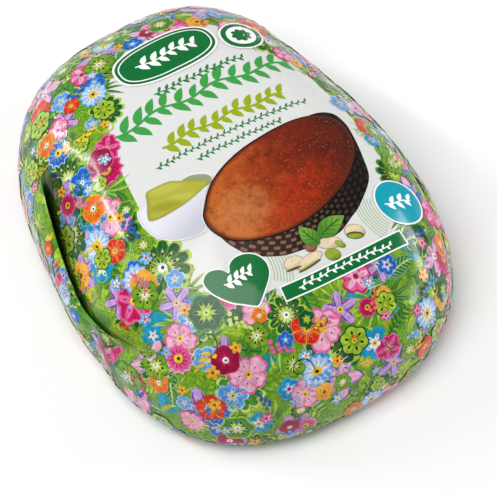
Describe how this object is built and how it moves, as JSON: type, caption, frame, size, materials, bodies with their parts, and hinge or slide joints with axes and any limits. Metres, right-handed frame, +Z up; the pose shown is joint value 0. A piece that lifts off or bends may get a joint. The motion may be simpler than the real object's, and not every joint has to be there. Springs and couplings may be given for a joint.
{
  "type": "film-wrapped festive cake pack",
  "caption": "Shut pack of a domed festive cake in glossy flower-printed film, with folded side pockets, lying on its flat underside.",
  "frame": {"origin": "middle of the flat underside, at the bottom centre of the bounding box", "axes": "+Z up out of the printed top, +Y along the pack's length to its narrower back end, +X to the right side of the printed top"},
  "size_m": [0.1957, 0.25, 0.0796],
  "materials": {
    "film": "glossy printed film with a flower print, mostly greens, and a pale label field on top"
  },
  "bodies": {
    "root": {"cake_pack": "film"}
  },
  "joints": []
}
